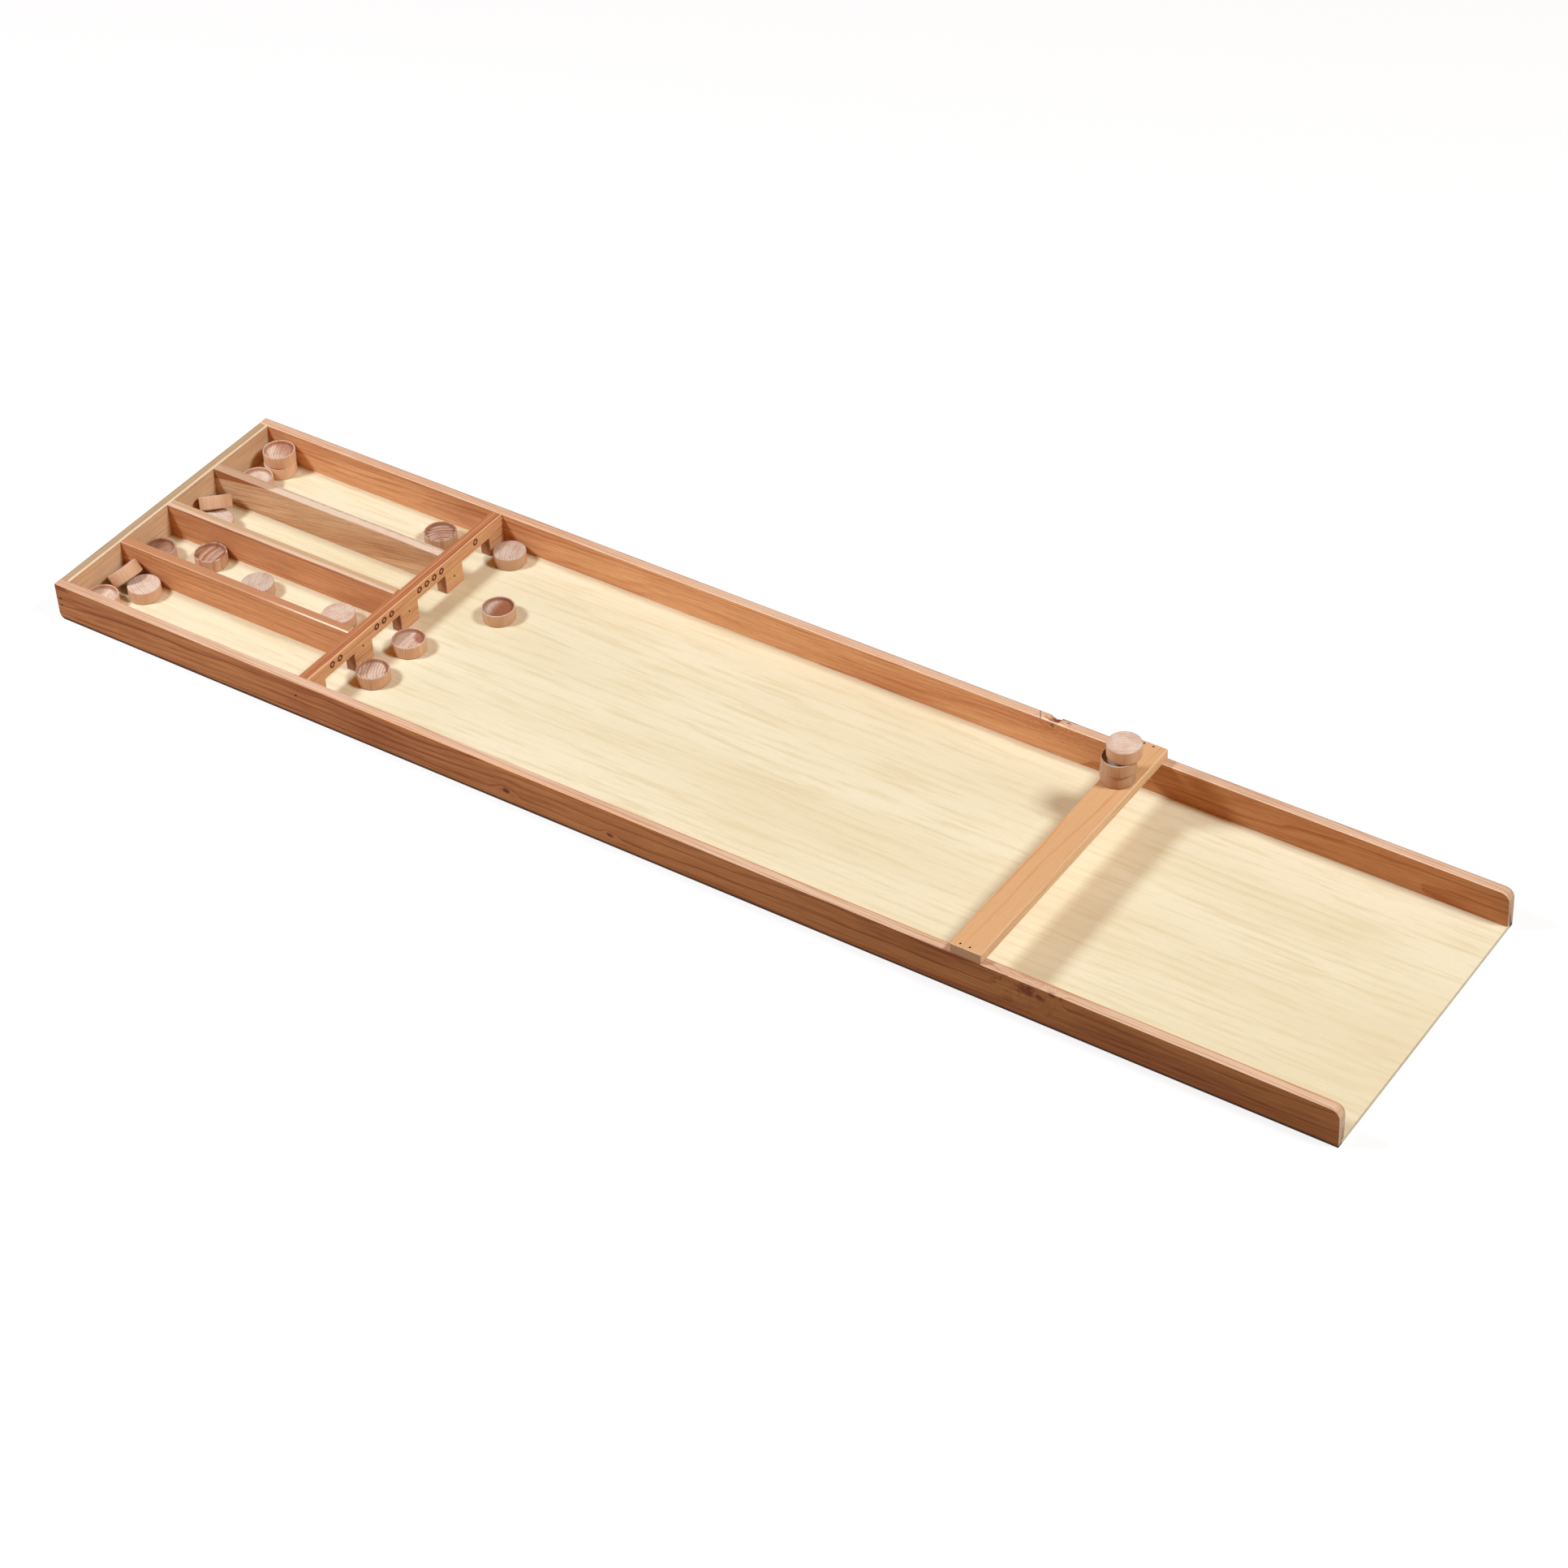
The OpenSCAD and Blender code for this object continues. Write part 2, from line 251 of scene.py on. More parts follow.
def ring_darkness(tree, radius, ring, start, stop, faint, strong):
    """Growth rings as wide as ring: each goes dark from start to stop, by a share of its own."""
    turns = sums(tree, "DIVIDE", radius, ring)
    late = spread(tree, sums(tree, "FRACT", turns), start, stop)
    number = tree.nodes.new("ShaderNodeTexWhiteNoise")
    number.noise_dimensions = "1D"
    join(tree, sums(tree, "FLOOR", turns), number.inputs["W"])
    return sums(tree, "MULTIPLY", late,
                spread(tree, number.outputs["Value"], 0, 1, faint, strong))


def plank_wood(name, pale, dark, pith, contrast, top, across=False, ring=0.0032, dip=0.012,
               blotch=0.35, knots=(), shade=None, end=None, arris=None, stripes=(), crack=None,
               foot=None):
    """Sawn wood: growth rings round a pith line, with fibres along the plank or across the board.
    A knot is (x, y, z, radius, share). A shade is (from x, to x, colour that darkens the rest).
    top, end and arris are (colour, share) for faces that look up, for sawn ends and for arrises:
    a pale top is painted sheen over wear, a pale arris is a painted highlight over wear, and
    sawn ends drink varnish. A stripe on the top is (from, to, colour, share, start, stop), across
    the plank and then along it. A crack crosses the top at x + slope * y = place, as (place, slope).
    The foot is (height, colour, share): the lowest strip painted dark, a painted shadow where the
    plank stands on the floor."""
    turn_off, knot_long, knot_tone, crack_tone = 0.01, 0.62, (122, 38, 8), (96, 56, 36)
    ragged_by, soft, longest_fade, crack_core, crack_edge = 0.0005, 0.0003, 0.06, 0.0003, 0.0011
    finish, tree, surface = new_finish(name)
    turned = tree.nodes.new("ShaderNodeMapping")
    turned.inputs["Rotation"].default_value = (0, dip, (math.pi / 2 if across else 0) + turn_off)
    join(tree, placed_coords(tree, (-pith[0], -pith[1], -pith[2])), turned.inputs["Vector"])
    along = turned.outputs["Vector"]
    bent = swayed(tree, along, 1.0, (3.5, 22, 22), 3.0, (0, 0.016, 0.016))
    radius = length_of(tree, stretched(tree, bent, (0, 1, 1)))

    knot_mask = 0  # the rings bulge round a knot, to four and a half times its radius
    for x, y, z, size, share in knots:
        near = tree.nodes.new("ShaderNodeVectorMath")
        near.operation = "DISTANCE"
        ripple = cloudy(tree, placed_coords(tree), (160, 160, 160), 2.0)
        join(tree, stretched(tree, placed_coords(tree), (knot_long, 1, 1)), near.inputs[0])
        near.inputs[1].default_value = (x * knot_long, y, z)
        away = sums(tree, "ADD", near.outputs["Value"],
                    spread(tree, ripple, 0.3, 0.7, -size * 0.35, size * 0.35))
        bulge = spread(tree, away, size * 0.6, size * 4.5, 1, 0)
        radius = sums(tree, "ADD", radius, sums(tree, "MULTIPLY", bulge, size * 1.6))
        knot_mask = sums(tree, "MAXIMUM", knot_mask,
                         spread(tree, away, size * 0.35, size * 1.4, share, 0))

    late = ring_darkness(tree, radius, ring, 0.35, 0.93, 0.15, 0.8)
    fibre = cloudy(tree, along, (14, 520, 520), 4.0, 0.6)
    pores = cloudy(tree, along, (55, 1500, 1500), 2.0)
    patch = cloudy(tree, along, (3, 26, 26))
    amount = sums(tree, "MULTIPLY", late, contrast)
    amount = sums(tree, "ADD", amount, spread(tree, fibre, 0.36, 0.66, 0, 0.38))
    amount = sums(tree, "ADD", amount, spread(tree, patch, 0.35, 0.7, 0, blotch))
    colour = blended(tree, amount, srgb(*pale), srgb(*dark))
    colour = blended(tree, spread(tree, pores, 0.57, 0.73, 0, 0.34), colour,
                     srgb(*[c * 0.62 for c in dark]))
    colour = blended(tree, knot_mask, colour, srgb(*knot_tone))

    place = parts_of(tree, placed_coords(tree))
    if shade:
        from_x, to_x, tint = shade
        colour = blended(tree, spread(tree, place["X"], from_x, to_x), colour,
                         blended(tree, 1.0, colour, srgb(*tint), "MULTIPLY"))
    facing = parts_of(tree, tree.nodes.new("ShaderNodeNewGeometry").outputs["Normal"])
    squareness = sums(tree, "ABSOLUTE", facing["X"])
    for axis in ("Y", "Z"):
        squareness = sums(tree, "MAXIMUM", squareness, sums(tree, "ABSOLUTE", facing[axis]))
    endways = sums(tree, "ABSOLUTE", facing["Y" if across else "X"])
    # A pale top is painted sheen over wear, and a pale arris is a painted highlight over wear.
    for tone, facing_mask in ((top, spread(tree, facing["Z"], 0.55, 0.9)),
                       (end, spread(tree, endways, 0.55, 0.9)),
                       (arris, spread(tree, squareness, 0.82, 0.985, 1, 0))):
        if tone:
            tint, share = tone
            tone_share = sums(tree, "MULTIPLY", facing_mask,
                          spread(tree, amount, 0.1, 1.0, share * 1.1, share * 0.5))
            tone_share = sums(tree, "MULTIPLY", tone_share, sums(tree, "SUBTRACT", 1, knot_mask))
            colour = blended(tree, tone_share, colour, srgb(*tint))

    width_way, length_way = ("X", "Y") if across else ("Y", "X")
    ragged = spread(tree, fibre, 0.3, 0.7, -ragged_by, ragged_by)
    for low, high, tint, share, start, stop in stripes:
        over = sums(tree, "ADD", place[width_way], ragged)
        line = sums(tree, "MULTIPLY", spread(tree, over, low - soft, low + soft),
                    spread(tree, over, high - soft, high + soft, 1, 0))
        fade = min(longest_fade, (stop - start) / 4)
        run = sums(tree, "MULTIPLY", spread(tree, place[length_way], start - fade, start + fade),
                   spread(tree, place[length_way], stop - fade, stop + fade, 1, 0))
        line = sums(tree, "MULTIPLY", sums(tree, "MULTIPLY", line, run),
                    spread(tree, facing["Z"], 0.2, 0.5, 0, share))
        colour = blended(tree, line, colour, srgb(*tint))
    if crack:
        middle, slope = crack
        off = sums(tree, "ADD", place["X"], sums(tree, "MULTIPLY", place["Y"], slope))
        off = sums(tree, "SUBTRACT", sums(tree, "ADD", off, ragged), middle)
        line = sums(tree, "MULTIPLY",
                    spread(tree, sums(tree, "ABSOLUTE", off), crack_core, crack_edge, 0.8, 0),
                    spread(tree, facing["Z"], 0.3, 0.6))
        colour = blended(tree, line, colour, srgb(*crack_tone))
    # painted shadow: the lowest strip darkened where the plank stands on the floor
    if foot:
        height, tint, share = foot
        painted_foot_shadow = spread(tree, sums(tree, "ADD", place["Z"], ragged),
                      height - 0.0012, height + 0.0006, share, 0)
        colour = blended(tree, painted_foot_shadow, colour, srgb(*tint))
    join(tree, colour, surface.inputs["Base Color"])
    join(tree, spread(tree, fibre, 0.3, 0.7, 0.42, 0.56), surface.inputs["Roughness"])
    surface.inputs["Specular IOR Level"].default_value = 0.16
    relief = sums(tree, "ADD", fibre, sums(tree, "MULTIPLY", late, -0.4))
    raised(tree, surface, relief, 0.0002)
    return finish


def bitten(piece, x, half, depth, y_from, y_to, z_top):
    """Breaks a knot out of a top arris, from y_from inside to y_to outside, deepest at x."""
    x_cuts, y_cuts, z_cuts, reach = 5, 5, 4, half * 1.01
    shape = bmesh.new()
    shape.from_mesh(piece.data)
    cuts = [(Vector((x + half * (k / x_cuts - 1), 0, 0)), Vector((1, 0, 0)))
            for k in range(2 * x_cuts + 1)]
    cuts += [(Vector((0, y_from + (y_to - y_from) * k / y_cuts, 0)), Vector((0, 1, 0)))
             for k in range(y_cuts)]
    cuts += [(Vector((0, 0, z_top - depth * k / z_cuts)), Vector((0, 0, 1)))
             for k in range(1, z_cuts + 1)]
    for place, way in cuts:
        close = [face for face in shape.faces
                 if face.normal.x ** 2 < 0.5
                 and max(point.co.x for point in face.verts) > x - reach
                 and min(point.co.x for point in face.verts) < x + reach]
        around = set(close)
        for face in close:
            around.update(face.edges, face.verts)
        bmesh.ops.bisect_plane(shape, geom=list(around), dist=weld, plane_co=place, plane_no=way)
    for point in shape.verts:
        off = (point.co.x - x) / half
        if abs(off) < 1 and point.co.y > y_from and point.co.z > z_top - depth:
            inward = (point.co.y - y_from) / (y_to - y_from)
            wave = 0.12 * math.sin(9 * off + 2) + 0.88
            bite = depth * wave * (1 - off * off) ** 0.8 * min(1, inward * 5)
            point.co.z = min(point.co.z, z_top - bite)
    middles = [(face, face.calc_center_median()) for face in shape.faces]
    bmesh.ops.triangulate(shape, faces=[face for face, middle in middles
                                        if abs(middle.x - x) < reach
                                        and middle.z > z_top - depth * 1.2])
    shape.to_mesh(piece.data)
    shape.free()
    piece.data.set_sharp_from_angle(angle=math.radians(plank_sharp))


def mottled(name, fine, low, high, first, second):
    """A finish that goes from one colour to the other in fine specks."""
    finish, tree, surface = new_finish(name)
    specks = cloudy(tree, placed_coords(tree), (fine, fine, fine))
    join(tree, blended(tree, spread(tree, specks, low, high), srgb(*first), srgb(*second)),
         surface.inputs["Base Color"])
    return finish, tree, surface, specks


nail_hole, tree, surface, specks = mottled("nail_hole_wood", 900, 0.35, 0.7,
                                           (34, 16, 10), (70, 36, 22))
surface.inputs["Roughness"].default_value = 0.8
surface.inputs["Specular IOR Level"].default_value = 0.1
raised(tree, surface, specks, 0.0002)


def nail_holes_darkened(piece, nails, slot):
    """Gives the wall of each hole above a punched nail head its near-black finish."""
    smallest_head, lowest, deepest, widest = 0.0000045, -0.0005, 0.004, 0.0015
    shape = cleaned_shape(nails)
    heads = [(face.calc_center_median(), face.normal.copy()) for face in shape.faces
             if face.calc_area() > smallest_head]
    shape.free()
    if len(piece.data.materials) == slot:
        piece.data.materials.append(nail_hole)
    for polygon in piece.data.polygons:
        for middle, outward in heads:
            off = polygon.center - middle
            above = off.dot(outward)
            beside = (off - outward * above).length
            on_wall = abs(polygon.normal.dot(outward)) < 0.5
            if lowest < above < deepest and beside < widest and on_wall:
                polygon.material_index = slot


above_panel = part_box("base_panel")[1].z + 0.001
rail_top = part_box("near_rail")[1].z
rail_outside = 0.199
rail_arris = 0.0015
broken_knot = {"x": 0.2965, "half": 0.0075, "depth": 0.004, "y_from": 0.1898, "y_to": 0.2}

for node, pale, dark, pith, ring, shade, crack, knots, stripes in (
        ("near_rail", (231, 156, 96), (165, 88, 43), (0, -0.26, 0.075), 0.0042,
         # the near rail's shade, darker towards the player's end, is painted shade where the lamp's
         # light falls off
         (-0.35, 0.6, (218, 218, 202)), None,
         [(0.499, -0.2, 0.041, 0.0075, 0.78),
          (0.515, -0.2, 0.038, 0.0045, 0.78),
          (0.53, -0.2, 0.049, 0.003, 0.78),
          (-0.1965, -0.2, 0.0185, 0.0036, 1.0),
          (-0.05, -0.2, 0.016, 0.0028, 0.9)],
         [(-0.201, -0.1985, (242, 176, 126), 0.8, -0.5, 0.03),
          (-0.1893, -0.187, (196, 134, 84), 0.8, -0.03, 0.9),
          (-0.194, -0.1915, (206, 168, 142), 0.5, -0.9, 0.1)]),
        ("far_rail", (243, 184, 134), (201, 128, 82), (0, 0.262, 0.01), 0.0032,
         (0.28, 0.42, (222, 208, 188)), (0.391, 0.59),
         [(0.2955, 0.1955, 0.0475, 0.0075, 0.95),
          (0.313, 0.196, 0.051, 0.0022, 0.85)],
         [(0.187, 0.189, (244, 208, 180), 0.8, -0.9, 0.9),
          (0.1984, 0.201, (172, 142, 120), 0.6, -0.9, 0.9),
          (0.1935, 0.195, (206, 170, 146), 0.5, -0.9, 0.9),
          (0.1984, 0.201, (112, 56, 32), 0.9, 0.3, 0.324),
          (0.1878, 0.1905, (252, 228, 202), 0.9, 0.28, 0.311)])):
    rail = rubbed_copy(node, rail_arris, lambda p: p.z > above_panel or abs(p.y) > rail_outside)
    rail.data.materials.append(plank_wood(
        node + "_wood", pale, dark, pith=pith, ring=ring, contrast=0.7, blotch=0.5, knots=knots,
        # the pale top and arrises are painted sheen and painted highlights over wear
        shade=shade, top=((226, 190, 162), 0.85), end=((236, 208, 170), 0.85),
        arris=((224, 184, 150), 0.5), stripes=stripes, crack=crack,
        # the dark foot strip is a painted shadow where the rail stands on the floor
        foot=(0.0036, (46, 26, 16), 0.9)))
    if node == "far_rail":
        bitten(rail, z_top=rail_top, **broken_knot)
    nail_holes_darkened(rail, "corner_nails", 1)
    nail_holes_darkened(rail, "gate_bar_nails", 1)
    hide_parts(node)
    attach(rail, "board")


# The end wall is a paler plank that closes the board at the bays. It is nailed between the rails
# and has its lower outer corner rounded like theirs.
between_rails = 0.187
wall_arris = 0.001
wall = rubbed_copy("end_wall", wall_arris,
                   lambda p: p.z > above_panel and abs(p.y) < between_rails)
wall.data.materials.append(plank_wood(
    "end_wall_wood", (238, 204, 162), (209, 160, 117), across=True, pith=(-0.83, 0, -0.03),
    contrast=0.5, top=((171, 142, 112), 0.8),
    stripes=[(-0.8648, -0.861, (238, 214, 182), 0.85, -0.3, 0.3),
             (-0.8755, -0.8728, (150, 128, 104), 0.6, -0.3, 0.3)]))
nail_holes_darkened(wall, "divider_nails", 1)
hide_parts("end_wall")
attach(wall, "board")


# The gate bar is a plank of the rails' red wood with four gates sawn out of its lower edge. It
# stands between the rails on the panel, nailed at both ends, and rings punched above each gate
# show its points.
bar_back, bar_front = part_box("gate_bar")[0].x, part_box("gate_bar")[1].x
bar_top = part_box("gate_bar")[1].z
bar_arris = 0.0009
punch_slack, punch_depth, punched_from, punched_to = 0.00005, 0.0007, 0.0018, 0.0125
bar = rubbed_copy("gate_bar", bar_arris,
                  lambda p: p.z > above_panel and abs(p.y) < between_rails)
bar.data.materials.append(plank_wood(
    "gate_bar_wood", (240, 190, 139), (191, 123, 81), across=True, pith=(-0.45, 0, 0.11),
    ring=0.0034, contrast=0.7, top=((168, 94, 60), 0.75), end=((132, 70, 46), 0.8),
    # the pale arrises are painted highlights over wear
    arris=((226, 176, 130), 0.7),
    # the first stripe, pale along the front arris, is a painted highlight
    stripes=[(bar_front - 0.0022, bar_front + 0.001, (232, 172, 122), 0.9, -0.3, 0.3),
             (bar_front - 0.0042, bar_front - 0.0028, (138, 72, 44), 0.6, -0.3, 0.3),
             (bar_back + 0.0045, bar_back + 0.0062, (216, 150, 104), 0.7, -0.1, 0.3),
             (bar_back + 0.0075, bar_back + 0.0088, (144, 76, 48), 0.6, -0.3, 0.1)]))
punched, tree, surface, specks = mottled("punched_wood", 900, 0.35, 0.7,
                                         (92, 46, 30), (128, 70, 44))
surface.inputs["Roughness"].default_value = 0.75
raised(tree, surface, specks, 0.0003)
bar.data.materials.append(punched)
for polygon in bar.data.polygons:
    behind_front, below_top = bar_front - polygon.center.x, bar_top - polygon.center.z
    if punch_slack < behind_front < punch_depth and punched_from < below_top < punched_to:
        polygon.material_index = 1
nail_holes_darkened(bar, "divider_nails", 2)
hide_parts("gate_bar")
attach(bar, "board")


# Three dividers part the bays. Each is a straight plank, nailed through the end wall and the gate
# bar, and the far one is of a paler, wilder piece of wood than the other two. The stripes on
# their tops are measured from the near and the far side.
divider_arris = 0.0009

for node, pale, dark, pith, ring, contrast, dip, top, near_stripes, far_stripes in (
        ("divider_near", (234, 172, 122), (190, 122, 78), (0, -0.05, 0.09), 0.0034, 0.5, 0.012,
         # the near divider's pale lines along its near arris are painted highlights
         (188, 130, 96), [(-0.001, 0.0022, (252, 226, 200), 0.95, -0.61, -0.4),
                          (-0.001, 0.0014, (222, 168, 128), 0.5, -0.9, -0.6)], []),
        ("divider_middle", (232, 168, 118), (184, 116, 76), (0, 0.05, 0.085), 0.003, 0.5, 0.012,
         (226, 195, 170), [], [(-0.0075, -0.0012, (198, 160, 116), 0.8, -0.9, -0.4)]),
        ("divider_far", (238, 199, 158), (176, 112, 68), (-0.6, 0.09, 0.158), 0.0685, 1.25, 0.17,
         (228, 203, 180), [(-0.001, 0.0012, (206, 140, 100), 0.5, -0.65, -0.55)],
         # the far divider's dark line by its far arris is painted shade
         [(-0.0032, -0.0018, (176, 144, 104), 0.8, -0.9, -0.4)])):
    divider = rubbed_copy(node, divider_arris, lambda p: p.z > above_panel)
    near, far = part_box(node)[0].y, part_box(node)[1].y
    stripes = [(side + low, side + high, *rest)
               for side, rows in ((near, near_stripes), (far, far_stripes))
               for low, high, *rest in rows]
    divider.data.materials.append(plank_wood(
        node + "_wood", pale, dark, pith=pith, ring=ring, contrast=contrast, dip=dip,
        # a pale top is painted sheen over wear, and the pale arrises are painted highlights over
        # wear
        top=(top, 0.85), arris=((236, 206, 180), 0.8), stripes=stripes))
    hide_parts(node)
    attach(divider, "board")


# The start bar is a flat strip of fine straight wood, laid over both rails and nailed down into
# them. Discs are played from behind it and run on under it.
start_arris = 0.0016
start = rubbed_copy("start_bar", start_arris, lambda p: True)
start.data.materials.append(plank_wood(
    "start_bar_wood", (249, 212, 168), (217, 160, 110), across=True, pith=(0.5, 0, 0.3),
    ring=0.0023, contrast=1.3, blotch=0.12, top=((202, 143, 89), 0.58),
    # the pale arrises are painted highlights over wear
    end=((200, 152, 112), 0.7), arris=((240, 204, 164), 0.8)))
nail_holes_darkened(start, "start_bar_nails", 1)
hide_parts("start_bar")
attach(start, "board")


# The frame is held by steel wire nails with small heads, punched just below the wood, and the
# panel by steel pins driven from below. All are dull with tarnish.
steel, tree, surface, specks = mottled("dull_nail_steel", 700, 0.4, 0.65,
                                       (58, 48, 42), (34, 24, 20))
join(tree, spread(tree, specks, 0.3, 0.7, 0.45, 0.7), surface.inputs["Roughness"])
surface.inputs["Metallic"].default_value = 0.6
for node in ("corner_nails", "gate_bar_nails", "divider_nails", "start_bar_nails", "panel_pins"):
    finished(node, steel)


# The discs are slices of a turned hardwood bar, so end grain shows on their faces and straight
# grain on their sides. One face is flat and runs on the board, the other is hollowed out, and all
# arrises are eased.
disc_r = 0.0205
disc_h = 0.017
disc_turns = 96
disc_section = [  # radius and height, from the middle of the flat face round to the hollow's
    (0, 0), (0.0188, 0), (0.0198, 0.0003), (0.0203, 0.0008), (disc_r, 0.0015),
    (disc_r, disc_h - 0.0014), (0.0204, disc_h - 0.0007), (0.0201, disc_h - 0.00025),
    (0.0197, disc_h), (0.0193, disc_h - 0.00005), (0.019, disc_h - 0.0004),
    (0.0188, disc_h - 0.0012), (0.0185, disc_h - 0.0027), (0.0181, disc_h - 0.004),
    (0.0174, disc_h - 0.005), (0.0162, disc_h - 0.0056), (0.014, disc_h - 0.0059),
    (0.009, disc_h - 0.0061), (0, disc_h - 0.0062)]
disc_sharp = 50  # degrees


def turned_disc(node, hollow_up):
    shape = bmesh.new()
    rings = []
    for r, z in disc_section:
        z = z - disc_h / 2 if hollow_up else disc_h / 2 - z
        angles = [math.tau * i / disc_turns for i in range(disc_turns if r else 1)]
        rings.append([shape.verts.new((r * math.cos(a), r * math.sin(a), z)) for a in angles])
    for inner, outer in zip(rings, rings[1:]):
        for i in range(disc_turns):
            k = (i + 1) % disc_turns
            if len(inner) == 1:
                shape.faces.new((inner[0], outer[i], outer[k]))
            elif len(outer) == 1:
                shape.faces.new((outer[0], inner[i], inner[k]))
            else:
                shape.faces.new((inner[i], inner[k], outer[k], outer[i]))
    return wooden_piece(node, shape, disc_sharp)


def slice_wood(name, tone, pith, ring, contrast, hollow_shaded_side):
    """A slice of a turned bar: rings round a pith at (x, y) show on its faces, straight grain on its
    side. hollow_shaded_side is (degrees, from, to, share): painted shade inside the rim, darker
    towards the heading, standing in for the rim's shadow in the hollow. tone makes the whole disc a
    little darker or lighter."""
    def toned(red, green, blue):
        return srgb(red * tone, green * tone, blue * tone)

    rim_in, rim_out, hollow_edge, rim_top = 0.0183, 0.0192, (0.0165, 0.0182), (0.0189, 0.0193)
    finish, tree, surface = new_finish(name)
    coords = placed_coords(tree, (-pith[0], -pith[1], 0))
    bent = swayed(tree, coords, 55, (1, 1, 0.15), 2.0, (0.004, 0.004, 0))
    late = ring_darkness(tree, length_of(tree, stretched(tree, bent, (1, 1, 0))), ring,
                         0.2, 0.95, 0.3, 1)
    fibre = cloudy(tree, coords, (420, 420, 28), 3.0, 0.6)
    patch = cloudy(tree, coords, (45, 45, 8))
    facing = parts_of(tree, tree.nodes.new("ShaderNodeTexCoord").outputs["Normal"])
    sawn = spread(tree, sums(tree, "ABSOLUTE", facing["Z"]), 0.25, 0.8)
    pale = blended(tree, sawn, toned(226, 182, 145), toned(226, 204, 186))
    dark = blended(tree, sawn, toned(199, 144, 109), toned(180, 120, 86))
    shown_rings = sums(tree, "MULTIPLY", spread(tree, sawn, 0, 1, 0.45, 1), contrast)
    amount = sums(tree, "MULTIPLY", late, shown_rings)
    amount = sums(tree, "ADD", amount, spread(tree, fibre, 0.35, 0.7, 0, 0.22))
    amount = sums(tree, "ADD", amount, spread(tree, patch, 0.4, 0.68, 0, 0.3))
    colour = blended(tree, amount, pale, dark)

    place = parts_of(tree, placed_coords(tree))
    reach = length_of(tree, stretched(tree, placed_coords(tree), (1, 1, 0)))
    # painted shade: one side of the hollow darker, standing in for the rim's shadow
    if hollow_shaded_side:
        way, start, stop, share = hollow_shaded_side
        toward = tree.nodes.new("ShaderNodeVectorMath")
        toward.operation = "DOT_PRODUCT"
        join(tree, placed_coords(tree), toward.inputs[0])
        toward.inputs[1].default_value = (math.cos(math.radians(way)),
                                          math.sin(math.radians(way)), 0)
        edge = sums(tree, "ADD", toward.outputs["Value"],
                    spread(tree, patch, 0.3, 0.7, -0.003, 0.003))
        within = sums(tree, "MULTIPLY", spread(tree, edge, start, stop, 0, share),
                      spread(tree, reach, rim_in, rim_out, 1, 0))
        colour = blended(tree, within, colour, toned(154, 82, 44))
    # painted shade: the hollow's wall just inside the rim is painted darker
    from_middle = sums(tree, "ABSOLUTE", place["Z"])
    hollow_wall_shade = sums(tree, "MULTIPLY", spread(tree, reach, *hollow_edge),
               spread(tree, from_middle, disc_h / 2 - 0.0018, disc_h / 2 - 0.0005, 1, 0))
    hollow_wall_shade = sums(tree, "MULTIPLY", hollow_wall_shade, spread(tree, reach, *rim_top, 0.5, 0))
    colour = blended(tree, hollow_wall_shade, colour, toned(146, 86, 62))
    join(tree, colour, surface.inputs["Base Color"])
    join(tree, spread(tree, fibre, 0.3, 0.7, 0.45, 0.6), surface.inputs["Roughness"])
    surface.inputs["Specular IOR Level"].default_value = 0.16
    raised(tree, surface, fibre, 0.00015)
    return finish


leaning = {"two_point_3": (177, 41), "four_point_2": (133, 35.5)}  # degrees: heading and lean

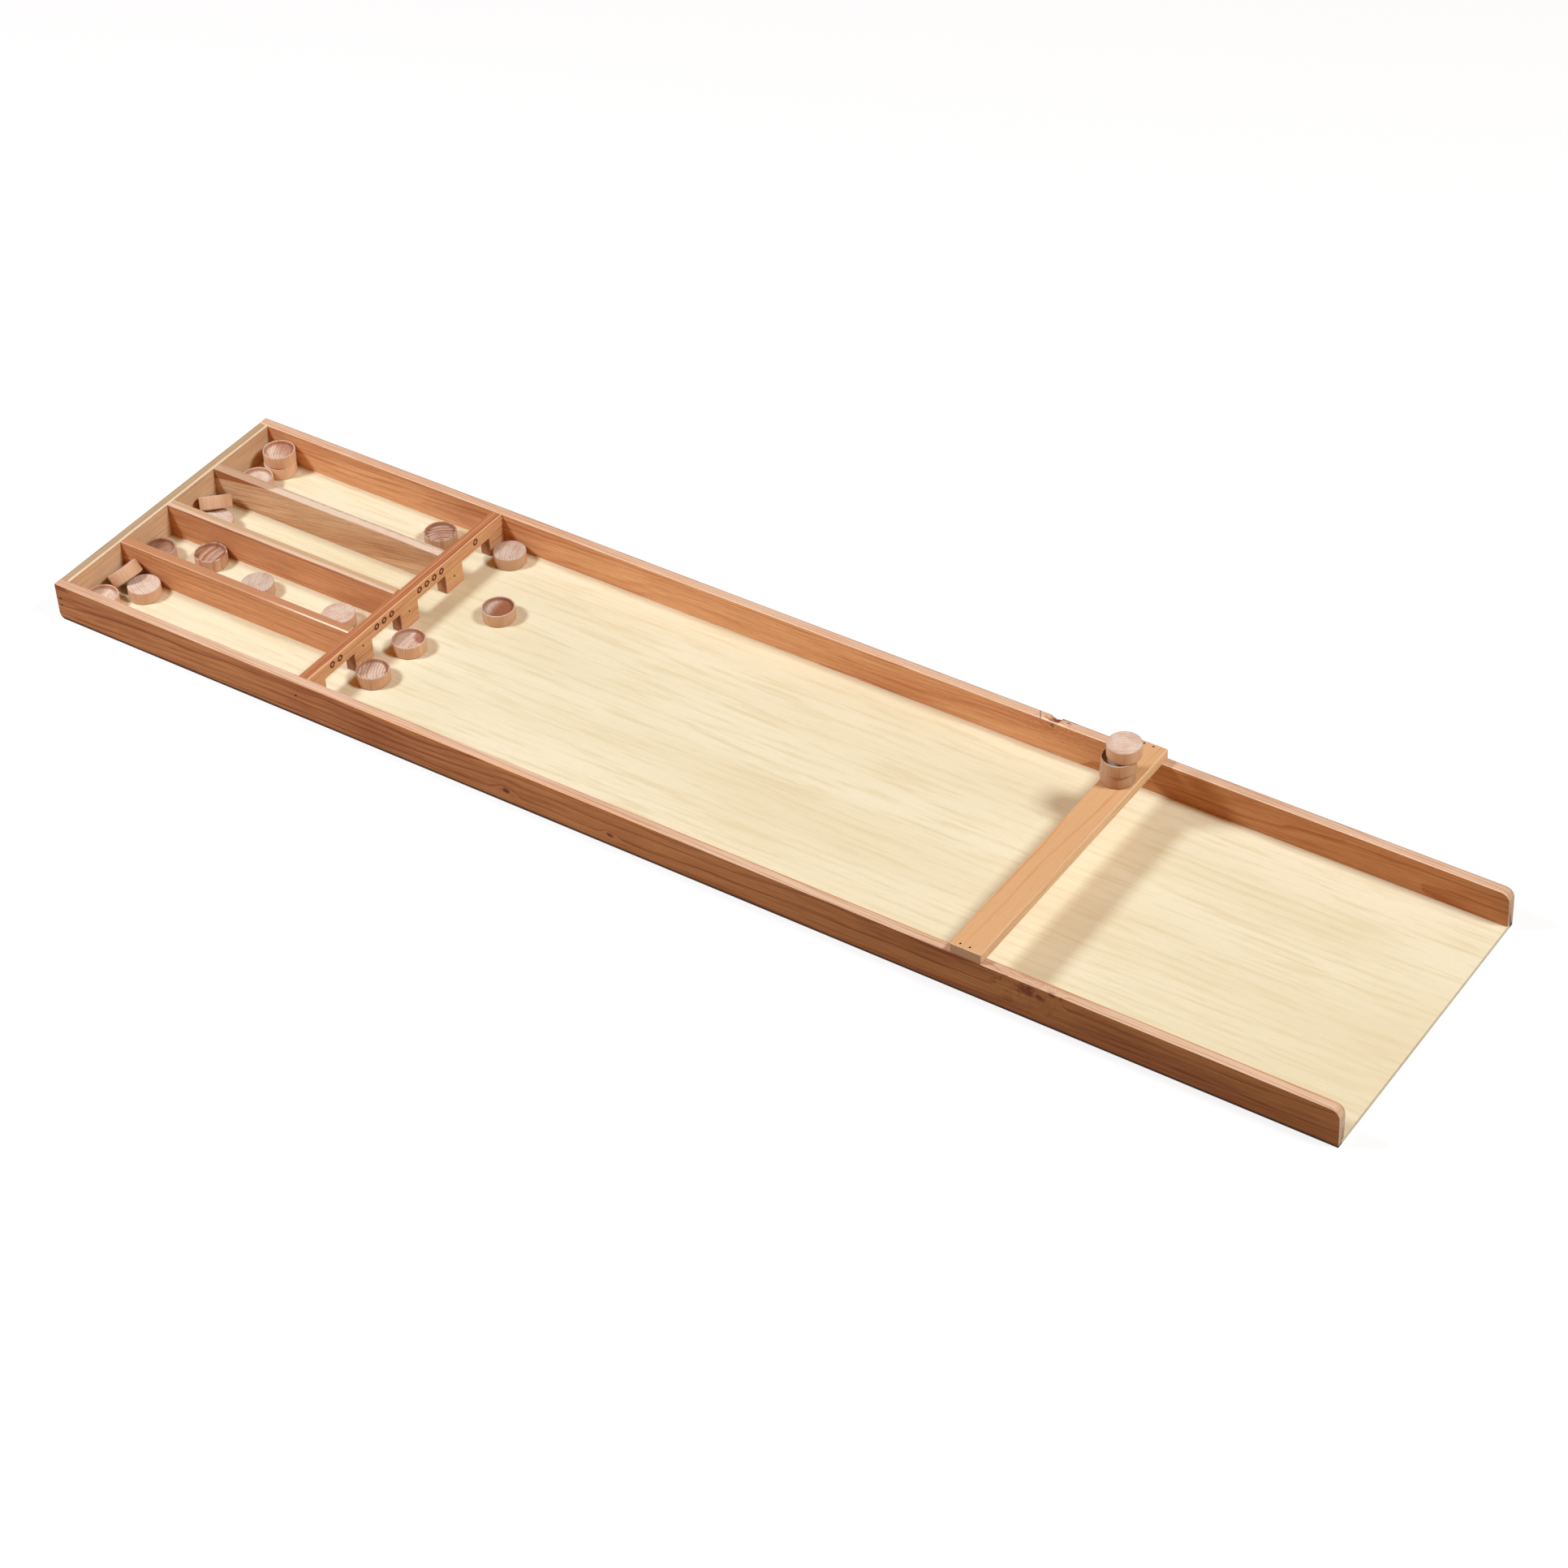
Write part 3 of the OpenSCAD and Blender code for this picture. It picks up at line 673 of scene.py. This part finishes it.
# the last column is the painted shade on one side of each hollow, or None
for name, hollow_up, pith_way, pith_off, ring, contrast, tone, hollow_shaded_side in (
        ("two_point_1", False, 60, 0.05, 0.0036, 0.35, 1.0, None),
        ("two_point_2", True, 20, 0.06, 0.003, 0.3, 1.02, None),
        ("two_point_3", True, 100, 0.05, 0.0024, 0.4, 1.0, None),
        ("three_point_1", True, 140, 0.04, 0.003, 0.9, 0.92, (120, -0.02, 0.01, 0.6)),
        ("three_point_2", True, 8, 0.045, 0.0085, 1.5, 0.96, (20, -0.03, 0.01, 0.45)),
        ("three_point_3", False, 30, 0.06, 0.0034, 0.3, 0.94, None),
        ("three_point_4", False, 160, 0.05, 0.0032, 0.3, 1.0, None),
        ("four_point_1", False, 80, 0.06, 0.0026, 0.4, 1.0, None),
        ("four_point_2", True, 10, 0.06, 0.0026, 0.4, 1.0, None),
        ("one_point_1", False, 45, 0.05, 0.0034, 0.3, 1.03, None),
        ("one_point_2", True, 33, 0.05, 0.0034, 0.6, 1.03, (60, -0.012, 0.014, 0.7)),
        ("one_point_3", True, 100, 0.05, 0.0032, 0.3, 1.0, None),
        ("one_point_4", True, -40, 0.024, 0.0048, 1.1, 0.93, (60, -0.02, 0.012, 0.45)),
        ("field_1", True, 33, 0.045, 0.0036, 0.75, 0.98, (45, 0.010, 0.014, 0.75)),
        ("field_2", True, 5, 0.06, 0.0034, 0.6, 1.0, (58, 0.008, 0.0125, 0.75)),
        ("field_3", True, 60, 0.05, 0.005, 0.3, 0.95, (5, -0.022, 0.002, 0.9)),
        ("field_4", False, 20, 0.06, 0.0034, 0.4, 0.93, None),
        ("on_bar_1", True, 75, 0.05, 0.0026, 0.4, 0.92, None),
        ("on_bar_2", True, 30, 0.05, 0.0026, 0.4, 0.95, None),
        ("on_bar_3", False, 120, 0.045, 0.0044, 0.25, 1.02, None)):
    node = "disc_" + name
    disc = turned_disc(node, hollow_up)
    pith = (pith_off * math.cos(math.radians(pith_way)), pith_off * math.sin(math.radians(pith_way)))
    disc.data.materials.append(slice_wood(node + "_finish", tone, pith, ring, contrast, hollow_shaded_side))
    low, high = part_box(node)
    disc.matrix_world = Matrix.Translation((low + high) / 2)
    if name in leaning:
        heading, lean = leaning[name]
        disc.matrix_world @= Matrix.Rotation(math.radians(heading), 4, "Z")
        disc.matrix_world @= Matrix.Rotation(math.radians(lean), 4, "Y")
    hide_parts(node)
    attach(disc, node)


# The studio: a pale floor that runs on into a pale room, and two soft lamps, left and right. Floor
# and room look white, but they light the wood only dimly, and the room's light is warm.
floor_half = 30
floor_gap = 0.0005
floor_mesh = bpy.data.meshes.new("floor")
floor_mesh.from_pydata([(-floor_half, -floor_half, 0), (floor_half, -floor_half, 0),
                        (floor_half, floor_half, 0), (-floor_half, floor_half, 0)],
                       [], [(0, 1, 2, 3)])
floor = bpy.data.objects.new("floor", floor_mesh)
bpy.context.scene.collection.objects.link(floor)
floor.location.z = -floor_gap
paper, tree, surface = new_finish("pale_floor")
surface.inputs["Base Color"].default_value = (0.25, 0.25, 0.25, 1)
surface.inputs["Roughness"].default_value = 0.9
surface.inputs["Specular IOR Level"].default_value = 0.0
rays = tree.nodes.new("ShaderNodeLightPath").outputs
seen = sums(tree, "MAXIMUM", rays["Is Camera Ray"],
            sums(tree, "MAXIMUM", rays["Is Glossy Ray"], rays["Is Transmission Ray"]))
surface.inputs["Emission Color"].default_value = (1, 1, 1, 1)
join(tree, sums(tree, "MULTIPLY", seen, 0.78), surface.inputs["Emission Strength"])
floor_mesh.materials.append(paper)

world = bpy.data.worlds.new("pale_room")
bpy.context.scene.world = world
world.use_nodes = True
tree = world.node_tree
tree.nodes.clear()
glow = tree.nodes.new("ShaderNodeBackground")
sky = tree.nodes.new("ShaderNodeOutputWorld")
join(tree, glow.outputs["Background"], sky.inputs["Surface"])
rays = tree.nodes.new("ShaderNodeLightPath").outputs
seen = sums(tree, "MAXIMUM", rays["Is Camera Ray"], rays["Is Transmission Ray"])
join(tree, blended(tree, seen, (0.25, 0.085, 0.0, 1), (1, 1, 1, 1)), glow.inputs["Color"])


def soft_lamp(name, place, size, watts, colour):
    """A round lamp of the given size across, turned to the board's middle."""
    lamp = bpy.data.lights.new(name, "AREA")
    lamp.shape = "DISK"
    lamp.size = size
    lamp.energy = watts
    lamp.color = colour
    holder = bpy.data.objects.new(name, lamp)
    bpy.context.scene.collection.objects.link(holder)
    holder.location = place
    holder.rotation_mode = "QUATERNION"
    holder.rotation_quaternion = (-Vector(place)).to_track_quat("-Z", "Y")


soft_lamp("left_lamp", (-2.2, -1.6, 2.9), 0.8, 112, (0.77, 0.93, 1.04))
soft_lamp("right_lamp", (3.62, 0.75, 4.69), 1.33, 256, (0.82, 0.95, 1.02))

# The camera stands beyond the open end, beside the near rail and well above it, and looks down
# across the board towards the bays.
eye = bpy.data.cameras.new("camera")
camera = bpy.data.objects.new("camera", eye)
bpy.context.scene.collection.objects.link(camera)
bpy.context.scene.camera = camera
eye.sensor_width = 36
eye.lens = 96.06
eye.shift_x = -0.0615
eye.shift_y = -0.0321
eye.clip_end = 100
right = Vector((0.838126, 0.544426, -0.033831))
up = Vector((-0.324929, 0.548111, 0.770711))
ahead = Vector((-0.438138, 0.634961, -0.636286))
camera.matrix_world = Matrix.Translation((2.23006, -2.96074, 3.08897)) @ \
    Matrix((right, up, -ahead)).transposed().to_4x4()

bpy.context.scene.view_settings.view_transform = "Standard"
